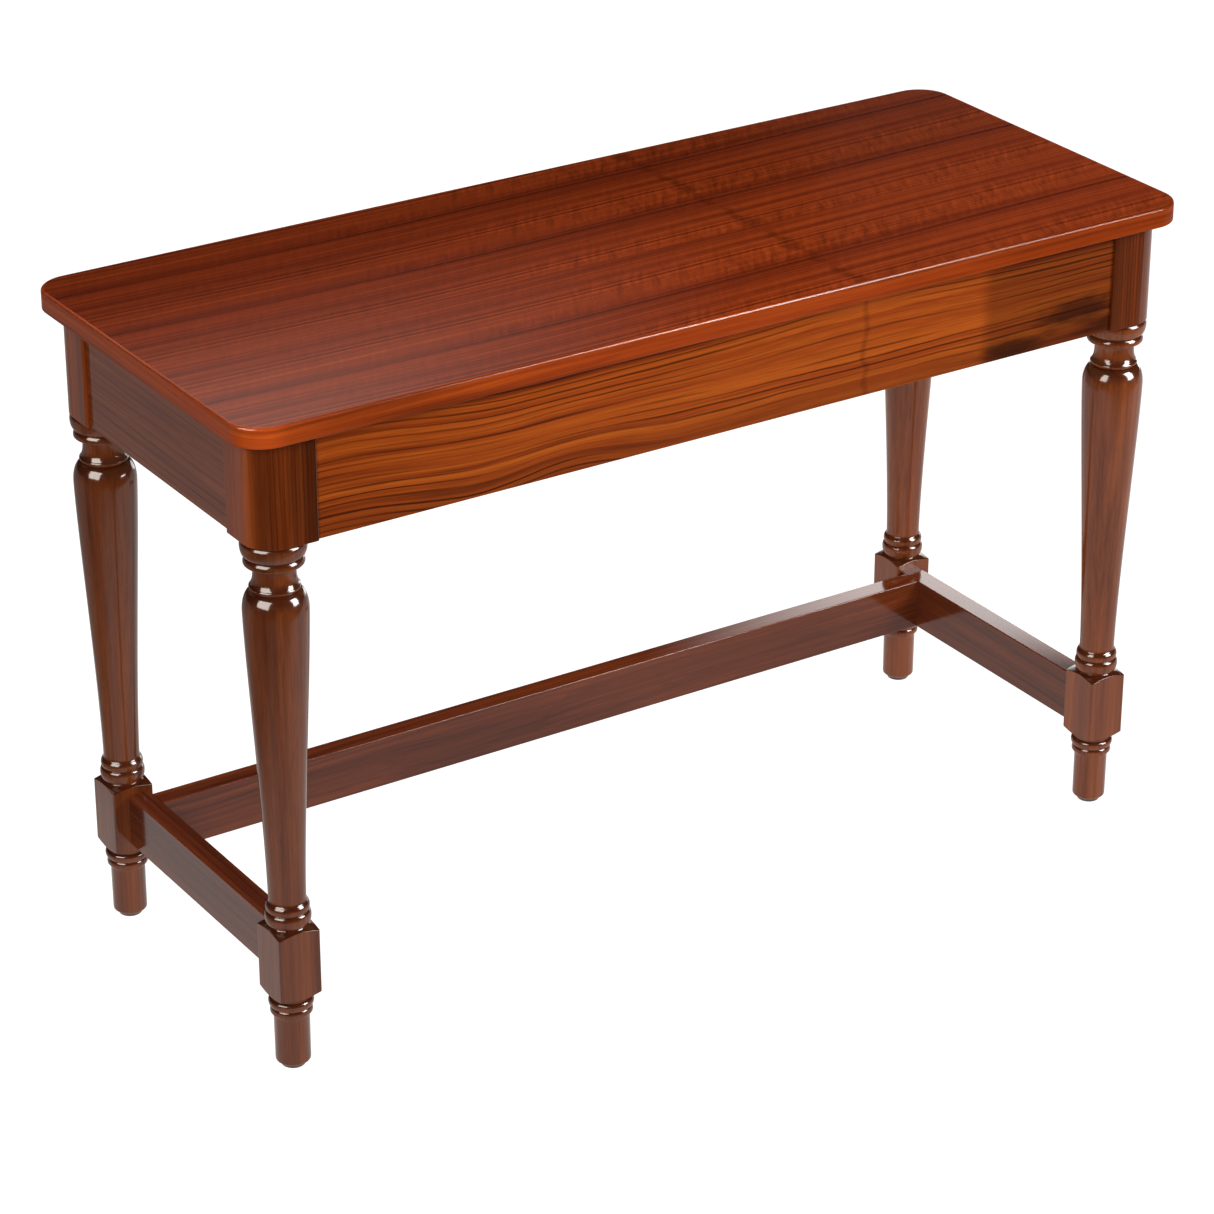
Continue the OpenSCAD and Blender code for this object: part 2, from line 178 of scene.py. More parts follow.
class Graph:
    """Builds one material's nodes; every argument may be a value or another node's output."""

    def __init__(self, name):
        self.material = bpy.data.materials.new(name)
        self.material.use_nodes = True
        self.tree = self.material.node_tree
        self.tree.nodes.clear()

    def node(self, kind, inputs, **settings):
        made = self.tree.nodes.new(kind)
        for key, value in settings.items():
            setattr(made, key, value)
        for key, value in inputs.items():
            socket = made.inputs[key]
            if isinstance(value, bpy.types.NodeSocket):
                self.tree.links.new(value, socket)
            elif socket.type == "RGBA":
                socket.default_value = (*value[:3], 1)
            else:
                socket.default_value = value
        return made

    def math(self, operation, a, b=0.0, c=0.0):
        return self.node("ShaderNodeMath", {0: a, 1: b, 2: c}, operation=operation).outputs[0]

    def add(self, a, b):
        return self.math("ADD", a, b)

    def times(self, a, b):
        return self.math("MULTIPLY", a, b)

    def less(self, a, b):
        return self.math("SUBTRACT", a, b)

    def apart(self, a, b):
        """How far two values lie apart."""
        return self.math("ABSOLUTE", self.less(a, b))

    def split(self, vector):
        return self.node("ShaderNodeSeparateXYZ", {0: vector}).outputs

    def vector(self, x, y, z):
        return self.node("ShaderNodeCombineXYZ", {0: x, 1: y, 2: z}).outputs[0]

    def place(self, axis="x"):
        """The point's distance along the grain, across it and into the board."""
        point = self.node("ShaderNodeTexCoord", {}).outputs["Object"]
        x, y, z = self.split(point)
        return {"x": (x, y, z), "y": (y, x, z), "z": (z, x, y)}[axis]

    def noise(self, along, across, deep, scales, detail=3.0, roughness=0.5, seed=0.0):
        """Noise from 0 to 1 that is stretched by one scale per direction, in features per metre."""
        point = self.vector(self.math("MULTIPLY_ADD", along, scales[0], seed),
                            self.math("MULTIPLY_ADD", across, scales[1], seed * 0.37),
                            self.math("MULTIPLY_ADD", deep, scales[2], seed * 0.61))
        return self.node("ShaderNodeTexNoise",
                         {"Vector": point, "Scale": 1.0, "Detail": detail, "Roughness": roughness}
                         ).outputs["Fac"]

    def spread(self, value, low, high, to_low=0.0, to_high=1.0):
        """A smooth step from to_low at low to to_high at high."""
        return self.node("ShaderNodeMapRange", {"Value": value, "From Min": low, "From Max": high,
                                                "To Min": to_low, "To Max": to_high},
                         interpolation_type="SMOOTHSTEP").outputs[0]

    def ramp(self, value, stops):
        """Colours, or greys given as numbers, at places from 0 to 1."""
        made = self.node("ShaderNodeValToRGB", {0: value})
        elements = made.color_ramp.elements
        while len(elements) < len(stops):
            elements.new(0.5)
        for element, (place, colour) in zip(elements, stops):
            element.position = place
            tone = colour if isinstance(colour, tuple) else (colour, colour, colour)
            element.color = (*tone, 1)
        return made.outputs[0]

    def mix(self, factor, a, b, kind="MIX"):
        """Two colours mixed by a factor; 6, 7 and 2 are the node's own numbers for colours."""
        return self.node("ShaderNodeMix", {0: factor, 6: a, 7: b}, data_type="RGBA",
                         blend_type=kind).outputs[2]

    def shade(self, colour, amount):
        """The colour times a grey amount."""
        grey = self.node("ShaderNodeCombineColor", {0: amount, 1: amount, 2: amount}).outputs[0]
        return self.mix(1.0, colour, grey, "MULTIPLY")

    def darken(self, colour, share):
        """The colour with a share of its brightness taken away."""
        return self.shade(colour, self.less(1.0, share))

    def surface(self, colour, roughness, height=None, relief=0.0, **sockets):
        """Finishes the material with a Principled shader; relief is the bump's depth in metres."""
        inputs = {"Base Color": colour, "Roughness": roughness}
        if height is not None:
            bump = self.node("ShaderNodeBump", {"Height": height, "Distance": relief, "Strength": 1.0})
            inputs["Normal"] = bump.outputs[0]
        inputs.update({key.replace("_", " "): value for key, value in sockets.items()})
        shader = self.node("ShaderNodeBsdfPrincipled", inputs)
        output = self.node("ShaderNodeOutputMaterial", {})
        self.tree.links.new(shader.outputs[0], output.inputs[0])
        return self.material


# Darkest, middle and lightest tone of each stained wood
TONES = {
    "top": ((0.058, 0.009, 0.004), (0.165, 0.022, 0.005), (0.265, 0.040, 0.007)),
    "edge": ((0.10, 0.014, 0.003), (0.25, 0.035, 0.005), (0.36, 0.065, 0.008)),
    "apron": ((0.070, 0.011, 0.003), (0.235, 0.040, 0.005), (0.35, 0.076, 0.008)),
    "side_apron": ((0.040, 0.010, 0.004), (0.125, 0.028, 0.010), (0.205, 0.055, 0.020)),
    "post": ((0.045, 0.009, 0.002), (0.11, 0.020, 0.003), (0.19, 0.040, 0.006)),
    "leg": ((0.055, 0.013, 0.004), (0.110, 0.026, 0.007), (0.165, 0.043, 0.011)),
    "stretcher": ((0.028, 0.006, 0.003), (0.074, 0.015, 0.005), (0.128, 0.028, 0.008)),
}
PALE_HARDWOOD = ((0.30, 0.17, 0.075), (0.47, 0.30, 0.15), (0.58, 0.41, 0.23))
# Colour of the painted shade on the upper side of the legs' beads and shoulders
LEG_PAINTED_SHADE = (0.034, 0.006, 0.002)

# How far the year rings drift along a board, in radians of one ring's cycle
RING_DRIFT = 14.0

# The lacquer's share of mirrored light and its softness, where a wood has none of its own
COAT = 0.62
COAT_ROUGHNESS = 0.09
GRAIN_RELIEF = 0.02 * MM


def wandering(g, place, wave, seed):
    """A place moved across the grain by its slow bends and its quicker wander."""
    along, across, deep = place
    bend = g.less(g.noise(along, across, deep, (2.6, 9, 9), 2.0, seed=seed), 0.5)
    wander = g.less(g.noise(along, across, deep, (9, 40, 40), 2.0, seed=seed + 3.1), 0.5)
    shift = g.add(g.times(bend, wave), g.times(wander, wave * 0.22))
    return along, g.add(across, shift), g.add(deep, g.times(shift, 0.6))


def ring_lines(g, place, line_gap, pith, gaps, seed):
    """The dark lines of the year rings, from 0 to 1. gaps is how much of them is broken away."""
    along, across, deep = place
    pith_distance = g.math("SQRT", g.add(g.math("POWER", across, 2.0),
                                         g.math("POWER", g.add(deep, pith), 2.0)))
    pace = g.noise(along, across, deep, (1.6, 38, 38), 2.0, seed=seed + 2.2)
    ring = g.math("SINE", g.add(g.times(pith_distance, 2 * math.pi / line_gap),
                                g.times(pace, RING_DRIFT)))
    broken = g.noise(along, across, deep, (4, 60, 60), 2.0, seed=seed + 1.4)
    return g.times(g.spread(ring, 0.50, 1.0), g.spread(broken, gaps - 0.15, gaps + 0.15))


def grain(g, place, tones, wave=0.010, streak=18.0, line_gap=0.005, lines=0.45, pith=0.08, seed=0.0,
          gaps=0.5):
    """Colour and height of lengthwise wood grain at a place (along, across, into the board).

    wave is how far the grain wanders, streak the width of its broad streaks in millimetres,
    line_gap the distance between year rings, lines their darkness, and pith how far behind the face
    the middle of the tree lies.
    """
    along, across, deep = wandering(g, place, wave, seed)
    broad = g.noise(along, across, deep, (1.7, 1000 / streak, 1000 / streak), 4.0, 0.55, seed + 5.3)
    thin = g.noise(along, across, deep, (5, 300, 300), 4.0, 0.6, seed + 7.7)
    fibre = g.noise(along, across, deep, (28, 1500, 1500), 2.0, 0.6, seed + 9.1)
    line = ring_lines(g, (along, across, deep), line_gap, pith, gaps, seed)
    tone = g.add(g.times(broad, 0.62), g.times(thin, 0.38))
    colour = g.ramp(tone, [(0.30, tones[0]), (0.47, tones[1]), (0.68, tones[2])])
    colour = g.darken(colour, g.times(line, lines))
    colour = g.shade(colour, g.spread(fibre, 0.2, 0.8, 0.82, 1.16))
    return colour, fibre


def lacquered(g, colour, height, coat_roughness=COAT_ROUGHNESS, coat=COAT):
    """Stained wood under clear lacquer, which alone reflects."""
    return g.surface(colour, 0.5, height, GRAIN_RELIEF, Specular_IOR_Level=0.0, Coat_Weight=coat,
                     Coat_Roughness=coat_roughness, Coat_IOR=1.5)


def plain_wood(name, kind, axis, **figure):
    """Lacquered stained wood with its grain along an axis."""
    g = Graph(name)
    colour, height = grain(g, g.place(axis), TONES[kind], **figure)
    return lacquered(g, colour, height)


def bare_rim(g, coat):
    """A coat of lacquer that stops at the case's rim, where the wood is left bare under the lid."""
    _, _, z = g.place("x")
    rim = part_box("front_right_post")[1].z
    return g.spread(z, rim - 0.4 * MM, rim - 0.1 * MM, coat, 0.0)


# ---- Wood of the lid ---------------------------------------------------------------------

# Width of one strip, distance of the seam from the rear edge, and where in its strip the rear edge lies
STRIP = 0.084
SEAM_FROM_REAR = 0.186
REAR_STRIP_START = 0.038
CROWN_LEFT_OF_MIDDLE = 0.155

# Greys across one strip, from its rear edge at 0 to its front edge at 1
STRIP_BANDS = [
    (0.00, 0.52), (0.05, 0.72), (0.20, 0.80), (0.325, 0.74), (0.345, 0.54), (0.365, 0.76),
    (0.52, 0.82), (0.545, 0.58), (0.565, 0.84), (0.72, 0.92), (0.84, 0.74), (0.95, 0.56),
    (1.00, 0.50),
]
# Places across a strip of its thin dark lines, with their darkness
STRIP_LINES = ((0.0285, 0.16), (0.0455, 0.20), (0.0820, 0.50))
# Place across a strip of its mottled stretch, and of the knot that the cross figure makes there
MOTTLE_MIDDLE = 0.056
KNOT_MIDDLE = 0.055

CROSS_FIGURE_X = 0.099


def across_strip(g, along, across, deep, from_rear):
    """How far a place lies from the rear edge of its own strip. The strips are bowed, and lie
    furthest forward at the crown of the bow."""
    to_crown = g.add(along, CROWN_LEFT_OF_MIDDLE)
    bow = g.less(g.math("SQRT", g.math("MULTIPLY_ADD", to_crown, to_crown, 0.0056)), 0.075)
    wander = g.less(g.noise(along, across, deep, (3.2, 14, 14), 2.0), 0.5)
    front = g.math("GREATER_THAN", from_rear, SEAM_FROM_REAR)
    start = g.math("MULTIPLY_ADD", front, -(SEAM_FROM_REAR + REAR_STRIP_START), REAR_STRIP_START)
    bent = g.add(g.add(from_rear, start), g.add(g.times(bow, 0.034), g.times(wander, 0.006)))
    return g.math("FLOORED_MODULO", bent, STRIP)


def add_mottle(g, colour, along, figure, deep):
    """The figure of short slanting stripes, strongest in patches near the middle of each strip."""
    warp = g.noise(along, figure, deep, (26, 60, 0), 3.0, 0.6)
    slant = g.add(g.add(along, g.times(figure, 0.55)), g.times(warp, 0.010))
    stripes = g.noise(slant, figure, deep, (250, 45, 0), 2.0, 0.5, 2.6)
    patch = g.times(g.spread(g.noise(along, figure, deep, (5, 24, 0), 2.0, seed=8.8), 0.40, 0.62),
                    g.spread(g.apart(figure, MOTTLE_MIDDLE), 0.034, 0.008))
    mottle = g.times(g.less(stripes, 0.5), g.add(g.times(patch, 0.90), 0.30))
    return g.shade(colour, g.math("MULTIPLY_ADD", mottle, 1.15, 1.0))


def add_cross_figure(g, colour, place, figure, broad):
    """The ragged dark line across all strips, with a small knot in each of them."""
    along, across, deep = place
    ragged = g.times(g.less(g.noise(along, across, deep, (30, 70, 0), 3.0, 0.6, 1.9), 0.5), 0.022)
    to_line = g.math("ABSOLUTE", g.add(g.less(along, CROSS_FIGURE_X), ragged))
    cross = g.times(g.spread(to_line, 0.007, 0.001), g.spread(broad, 0.35, 0.6, 0.08, 0.34))
    knot = g.times(g.spread(to_line, 0.012, 0.002),
                   g.spread(g.apart(figure, KNOT_MIDDLE), 0.009, 0.002, 0.0, 0.44))
    return g.darken(colour, g.math("MAXIMUM", cross, knot))


def add_strip_lines(g, colour, along, figure, deep):
    """The thin dark lines along each strip, which fade in places."""
    for place, darkness in STRIP_LINES:
        line = g.spread(g.apart(figure, place), 0.0022, 0.0002, 0.0, darkness)
        fading = g.spread(g.noise(along, figure, deep, (4, 14, 0), 2.0, 0.5, 3.7), 0.30, 0.62, 0.35, 1.0)
        colour = g.darken(colour, g.times(line, fading))
    return colour


def top_veneer_wood():
    """Slip-matched veneer: strips that repeat one figure, in two sheets either side of a seam."""
    g = Graph("top_veneer_wood")
    along, across, deep = g.place("x")
    from_rear = g.less(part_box("lid_top_veneer")[1].y, across)
    figure = across_strip(g, along, across, deep, from_rear)
    bands = g.ramp(g.times(figure, 1 / STRIP), STRIP_BANDS)
    thin = g.noise(along, figure, deep, (2.0, 420, 0), 5.0, 0.7, 4.4)
    broad = g.noise(along, figure, deep, (3.0, 70, 0), 3.0, 0.5, 6.1)
    fibre = g.noise(along, figure, deep, (26, 1500, 0), 2.0, 0.6, 9.7)
    dark, middle, light = TONES["top"]
    tone = g.add(g.times(bands, 0.50), g.add(g.times(thin, 0.42), g.times(broad, 0.24)))
    colour = g.ramp(tone, [(0.34, dark), (0.66, middle), (0.88, light)])
    colour = g.shade(colour, g.spread(thin, 0.25, 0.75, 0.74, 1.20))
    colour = add_mottle(g, colour, along, figure, deep)
    colour = add_cross_figure(g, colour, (along, across, deep), figure, broad)
    colour = add_strip_lines(g, colour, along, figure, deep)
    darker_rear = g.spread(from_rear, 0.0, 0.24, 0.66, 1.0)
    colour = g.shade(colour, darker_rear)
    colour = g.shade(colour, g.spread(fibre, 0.2, 0.8, 0.86, 1.12))
    return lacquered(g, colour, fibre, 0.12, 0.4)


def edge_band_wood():
    """Wood whose grain follows the edge band round the lid, by the band's own length coordinate. It
    has painted light round the front left corner, and is darker beside it and towards the right end."""
    g = Graph("edge_band_wood")
    run = g.node("ShaderNodeUVMap", {}, uv_map="run").outputs[0]
    along, up, _ = g.split(run)
    colour, height = grain(g, (along, up, g.times(along, 0.0)), TONES["edge"], wave=0.006, streak=9.0,
                           line_gap=0.0042, lines=0.35, pith=0.03, seed=2.0)
    x, y, _ = g.place("x")
    low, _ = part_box("lid_edge_band")
    to_corner = g.apart(g.less(x, y), low.x - low.y + 0.006)
    left_end = g.spread(x, low.x + 0.06, low.x + 0.03)
    # Painted light: a pale patch round the front left corner
    glow = g.times(g.spread(to_corner, 0.030, 0.006, 0.0, 0.42), left_end)
    beside_corner = g.spread(g.apart(x, low.x + 0.10), 0.09, 0.02)
    front_side = g.spread(y, low.y + 0.03, low.y + 0.01, 0.0, 0.28)
    colour = g.shade(colour, g.add(1.0, g.less(glow, g.times(beside_corner, front_side))))
    darker_right = g.spread(x, 0.10, 0.30, 1.0, 0.80)
    colour = g.shade(colour, darker_right)
    return lacquered(g, colour, height, 0.15, g.spread(x, -0.05, 0.25, 0.34, 0.12))


# ---- Wood of the case and legs -----------------------------------------------------------

# Front apron: distance of the joint in its veneer from the left end, and the two blots of its smoky
# patch, each with its centre (beyond the joint, above the lower edge) and its half-size
JOINT_FROM_LEFT = 0.448
BLOTS = (
    ((0.200, 0.020), (0.058, 0.015)),
    ((0.134, 0.005), (0.032, 0.012)),
)
BLOT_DARKNESS = 0.66


def blot(g, along, up, centre, reach, clouds):
    """How far a place lies inside a ragged dark blot: 0 outside it, 1 well inside."""
    far = g.add(g.math("POWER", g.times(g.less(along, centre[0]), 1 / reach[0]), 2.0),
                g.math("POWER", g.times(g.less(up, centre[1]), 1 / reach[1]), 2.0))
    return g.spread(g.add(far, g.times(g.less(clouds, 0.5), 4.0)), 1.3, 0.1)


def apron_sweep(g, along, up, from_low, left_x):
    """The height that a place has in the straight grain, before it swelled round an eye and rose
    towards the left end."""
    eye = g.times(g.spread(g.apart(along, left_x + 0.20), 0.09, 0.0, 0.0, 0.008),
                  g.spread(from_low, 0.045, 0.010))
    slope = g.spread(along, left_x, left_x + 0.16, 0.012, 0.0)
    return g.less(g.less(up, eye), slope)


def front_apron_wood():
    """Veneer with an end-matched joint and a smoky patch towards the right end."""
    g = Graph("front_apron_wood")
    along, _, up = g.place("x")
    low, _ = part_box("front_apron_veneer")
    joint_x = low.x + JOINT_FROM_LEFT
    from_low = g.less(up, low.z)
    place = (g.apart(along, joint_x), apron_sweep(g, along, up, from_low, low.x),
             g.times(along, 0.0))
    colour, height = grain(g, place, TONES["apron"], wave=0.016, streak=6.0, line_gap=0.0052,
                           lines=0.74, pith=0.10, seed=11.0, gaps=0.47)
    ragged = g.times(g.less(g.noise(along, up, along, (20, 60, 0), 2.0), 0.5), 0.012)
    to_joint = g.math("ABSOLUTE", g.add(g.less(along, joint_x), ragged))
    clouds = g.noise(along, up, along, (12, 45, 0), 4.0, 0.6, 3.3)
    blots = [blot(g, along, from_low, (joint_x + centre[0], centre[1]), reach, clouds)
             for centre, reach in BLOTS]
    colour = g.darken(colour, g.spread(to_joint, 0.004, 0.0005, 0.0, 0.25))
    darker_right = g.spread(along, joint_x + 0.100, joint_x + 0.116, 0.0, 0.40)
    colour = g.darken(colour, darker_right)
    colour = g.darken(colour, g.times(g.math("MAXIMUM", *blots), BLOT_DARKNESS))
    darker_foot = g.spread(from_low, 0.026, 0.0, 0.0, 0.30)
    colour = g.darken(colour, darker_foot)
    darker_left = g.spread(along, low.x, low.x + 0.20, 0.85, 1.0)
    colour = g.shade(colour, darker_left)
    return lacquered(g, colour, height, 0.12, bare_rim(g, 0.4))


def apron_wood(name, kind, axis, **figure):
    """Veneer with its grain along an axis, lacquered up to the case's rim."""
    g = Graph(name)
    colour, height = grain(g, g.place(axis), TONES[kind], **figure)
    return lacquered(g, colour, height, coat=bare_rim(g, COAT))


def post_wood():
    """Upright grain, with painted shade towards the aprons and painted light on the bench's left side.
    The posts also get paler from left to right."""
    g = Graph("post_wood")
    up, x, y = g.place("z")
    colour, height = grain(g, (up, x, y), TONES["post"], wave=0.006, streak=14.0, line_gap=0.003,
                           lines=0.4, seed=5.0)
    low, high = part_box("front_right_post")
    # Painted shade: darker next to the aprons
    painted_shade_by_aprons = g.spread(g.math("ABSOLUTE", x), low.x, low.x + 0.026, 0.45, 0.90)
    colour = g.shade(colour, painted_shade_by_aprons)
    # Painted light: paler on the outer faces at the bench's left side
    painted_light_left_face = g.spread(x, 5 * MM - high.x, -high.x, 1.0, 1.9)
    colour = g.shade(colour, painted_light_left_face)
    colour = g.shade(colour, g.spread(x, -0.30, 0.30, 0.90, 1.25))
    return lacquered(g, colour, height, coat=bare_rim(g, COAT))


def leg_wood():
    """Upright grain with faint rings, and painted shade on the upper side of every bead and shoulder.
    The right-hand pair of legs is turned from paler wood."""
    g = Graph("leg_wood")
    up, x, y = g.place("z")
    colour, height = grain(g, (up, x, y), TONES["leg"], wave=0.010, streak=13.0, line_gap=0.0034,
                           lines=0.18, pith=0.5, seed=23.0)
    colour = g.shade(colour, g.spread(x, -0.30, 0.30, 0.88, 1.30))
    # Painted shade: the colour darkens where the surface faces upward
    normal = g.node("ShaderNodeTexCoord", {}).outputs["Normal"]
    _, _, upward = g.split(normal)
    colour = g.mix(g.spread(upward, 0.06, 0.48, 0.0, 0.78), colour, LEG_PAINTED_SHADE)
    return lacquered(g, colour, height, 0.13)


def stretcher_wood(name, axis, **figure):
    """Lengthwise grain, with painted light along the top face, and less lacquer left on its eased edges.
    """
    g = Graph(name)
    colour, height = grain(g, g.place(axis), TONES["stretcher"], lines=0.3, **figure)
    _, _, z = g.place("x")
    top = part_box("rear_stretcher")[1].z
    # Painted light: paler along the top face
    colour = g.shade(colour, g.spread(z, top - 1.2 * MM, top - 0.4 * MM, 1.0, 1.45))
    coat = g.spread(g.apart(z, top - 0.4 * MM), 0.4 * MM, 0.3 * MM, 0.6, 0.25)
    return lacquered(g, colour, height, 0.12, coat)


def inner_wood(name, axis):
    """Pale unstained hardwood of the hidden boards."""
    g = Graph(name)
    colour, height = grain(g, g.place(axis), PALE_HARDWOOD, wave=0.012, lines=0.25, seed=21.0)
    return g.surface(colour, 0.75, height, 0.04 * MM, Specular_IOR_Level=0.0)


def brass():
    """Dull brass, smeared lengthwise and spotted."""
    g = Graph("hinge_brass")
    x, y, z = g.place("x")
    smear = g.noise(x, y, z, (30, 260, 260), 4.0, 0.6)
    spots = g.spread(g.noise(x, y, z, (700, 700, 700), 2.0), 0.55, 0.75)
    colour = g.mix(smear, (0.50, 0.33, 0.10), (0.78, 0.56, 0.22))
    colour = g.mix(g.times(spots, 0.35), colour, (0.25, 0.15, 0.05))
    return g.surface(colour, g.spread(smear, 0.2, 0.8, 0.24, 0.42), smear, 0.01 * MM, Metallic=1.0)


def steel():
    """Worn steel of the screws and nails."""
    g = Graph("screw_steel")
    x, y, z = g.place("x")
    wear = g.noise(x, y, z, (900, 900, 900), 3.0)
    colour = g.mix(wear, (0.34, 0.34, 0.36), (0.62, 0.62, 0.63))
    return g.surface(colour, g.spread(wear, 0.3, 0.7, 0.28, 0.5), wear, 0.01 * MM, Metallic=1.0)


def felt():
    """Dark green felt with fine hairs."""
    g = Graph("felt")
    x, y, z = g.place("x")
    hairs = g.noise(x, y, z, (2600, 2600, 2600), 4.0, 0.7)
    colour = g.mix(hairs, (0.020, 0.030, 0.018), (0.075, 0.095, 0.060))
    return g.surface(colour, 0.95, hairs, 0.25 * MM, Specular_IOR_Level=0.2, Sheen_Weight=0.1,
                     Sheen_Roughness=0.5)


def glide_plastic():
    """Dark brown plastic, scuffed round its side."""
    g = Graph("glide_plastic")
    x, y, z = g.place("x")
    speckle = g.noise(x, y, z, (1200, 1200, 1200), 3.0)
    scuffs = g.noise(x, y, z, (90, 700, 90), 3.0, 0.7, 4.0)
    colour = g.mix(speckle, (0.030, 0.020, 0.015), (0.060, 0.042, 0.033))
    return g.surface(colour, g.spread(scuffs, 0.3, 0.7, 0.4, 0.6), speckle, 0.02 * MM)


# ---- Lid ---------------------------------------------------------------------------------

def lid_size():
    """Half the lid's length and depth, and the heights of its two faces."""
    low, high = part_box("lid_top_veneer")
    half = ((high.x - low.x) / 2, (high.y - low.y) / 2)
    return half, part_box("lid_bottom_veneer")[0].z, high.z


def lid_ring(half, z, inset):
    """The lid's outline at a height, moved in by inset."""
    return [(u, v, z) for u, v in outline(*half, [LID_CORNER] * 4, inset, steps=20)]


def make_top_veneer():
    """The lid's upper face, inside the edge band."""
    half, _, top = lid_size()
    core_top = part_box("lid_core")[1].z
    rings = [lid_ring(half, core_top, VENEER_INSET), lid_ring(half, top, VENEER_INSET)]
    piece = weigh_normals(ring_mesh("top_veneer", rings, top_veneer_wood(), "lid"))
    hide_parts("lid_top_veneer")


def make_bottom_veneer():
    """The lid's underside, in dark stained wood."""
    half, bottom, _ = lid_size()
    core_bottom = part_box("lid_core")[0].z
    rings = [lid_ring(half, bottom, LID_LOWER_EASE), lid_ring(half, core_bottom, LID_LOWER_EASE)]
    wood = plain_wood("lid_underside_wood", "stretcher", "x", wave=0.012, seed=31.0)
    piece = weigh_normals(ring_mesh("bottom_veneer", rings, wood, "lid"))
    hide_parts("lid_bottom_veneer")


def make_edge_band():
    """The band's section (inset, height) runs from its lower inner edge round the outside to its
    upper inner edge, and goes round the lid."""
    half, bottom, top = lid_size()
    core_low, core_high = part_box("lid_core")
    band = half[0] - core_high.x
    section = [(band, core_low.z), (LID_LOWER_EASE, core_low.z)]
    section += arc((LID_LOWER_EASE, bottom + LID_LOWER_EASE), (LID_LOWER_EASE, LID_LOWER_EASE),
                   270, 180, 6)
    section += arc((LID_FILLET, top - LID_FILLET), (LID_FILLET, LID_FILLET), 180, 90, 10)
    section += [(VENEER_INSET, top), (VENEER_INSET, core_high.z), (band, core_high.z)]
    rings = [lid_ring(half, z, inset) for inset, z in section]
    piece = ring_mesh("edge_band", rings, edge_band_wood(), "lid", joined=True)
    add_run_coordinate(piece, lid_ring(half, top, 0.0), section)
    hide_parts("lid_edge_band")


def add_run_coordinate(piece, ring, section):
    """A UV map in metres: how far round the lid, and how far round the band's section."""
    around = [0.0]
    for a, b in zip(ring, ring[1:] + ring[:1]):
        around.append(around[-1] + (Vector(b) - Vector(a)).length)
    over = [0.0]
    for a, b in zip(section, section[1:] + section[:1]):
        over.append(over[-1] + math.dist(a, b))
    count = len(ring)
    layer = piece.data.uv_layers.new(name="run")
    for face in piece.data.polygons:
        row, column = divmod(face.index, count)
        places = ((row, column), (row, column + 1), (row + 1, column + 1), (row + 1, column))
        for loop, (r, c) in zip(face.loop_indices, places):
            layer.data[loop].uv = (around[c], over[r])


# ---- Case --------------------------------------------------------------------------------

def make_posts():
    """Square posts whose outer corner is rounded to a quarter circle."""
    wood = post_wood()
    for corner, sx, sy in CORNERS:
        node = corner + "_post"
        low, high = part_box(node)
        round_r = (high.x - low.x) / 2
        radii = [round_r if signs == (sx, sy) else POST_ARRIS for signs in QUADRANTS]
        piece = eased_bar(corner + "_corner_post", low, high, "z", radii, POST_END_EASE, wood, "case",
                          16)
        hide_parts(node)


def make_apron_faces():
    """The thin veneer on the outer face of each apron."""
    woods = {
        "front": front_apron_wood(),
        "rear": apron_wood("rear_apron_wood", "apron", "x", wave=0.030, streak=16.0, seed=13.0),
        "left": apron_wood("left_apron_wood", "side_apron", "y", wave=0.016, streak=16.0, seed=17.0),
        "right": apron_wood("right_apron_wood", "side_apron", "y", wave=0.016, streak=16.0, seed=19.0),
    }
    for side in SIDES:
        node = side + "_apron_veneer"
        low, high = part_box(node)
        axis = "x" if side in ("front", "rear") else "y"
        piece = eased_bar(side + "_apron_face", low, high, axis, [VENEER_ARRIS] * 4, BUTTED_END_EASE,
                          woods[side], "case", 3)
        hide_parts(node)


# ---- Legs --------------------------------------------------------------------------------

def leg_angles():
    """Directions round the leg in degrees, closer together at the block's four arrises."""
    flat_end = math.degrees(math.atan((BLOCK_HALF - BLOCK_ARRIS) / BLOCK_HALF))
    coarse = [flat_end * i / 14 for i in range(15)]
    fine = [flat_end + (45 - flat_end) * i / 4 for i in range(1, 5)]
    octant = coarse + fine
    quarter = [-a for a in reversed(octant[1:])] + octant[:-1]
    return [90 * k + a for k in range(4) for a in quarter]


def square_radius(angle):
    """Distance from the leg's axis to the block's side, with its arris rounded."""
    turned = math.radians((angle + 45) % 90 - 45)
    inner = BLOCK_HALF - BLOCK_ARRIS
    if abs(math.tan(turned)) * BLOCK_HALF <= inner:
        return BLOCK_HALF / math.cos(turned)
    along = inner * (math.cos(turned) + abs(math.sin(turned)))
    return along + math.sqrt(max(BLOCK_ARRIS ** 2 - (2 * inner ** 2 - along ** 2), 0.0))


def shoulder(radius, edge, out):
    """Points (radius, height) from the block's flat side over its turned shoulder to the shoulder's
    end. edge is the height where the flats end, and out is 1 above them and -1 below."""
    slope = SHOULDER_H / (BLOCK_CORNER_R - SHOULDER_R)
    crest = edge + out * (BLOCK_CORNER_R - radius) * slope
    run = math.hypot(1, slope)
    flat = (radius, crest - out * SHOULDER_EASE)
    top = (radius - SHOULDER_EASE / run, crest + out * SHOULDER_EASE * slope / run)
    points = bezier(flat, (radius, crest), (radius, crest), top, 5)
    end = (SHOULDER_R, edge + out * SHOULDER_H)
    points += [tuple(top[k] + (end[k] - top[k]) * i / 3 for k in (0, 1)) for i in range(1, 4)]
    return points


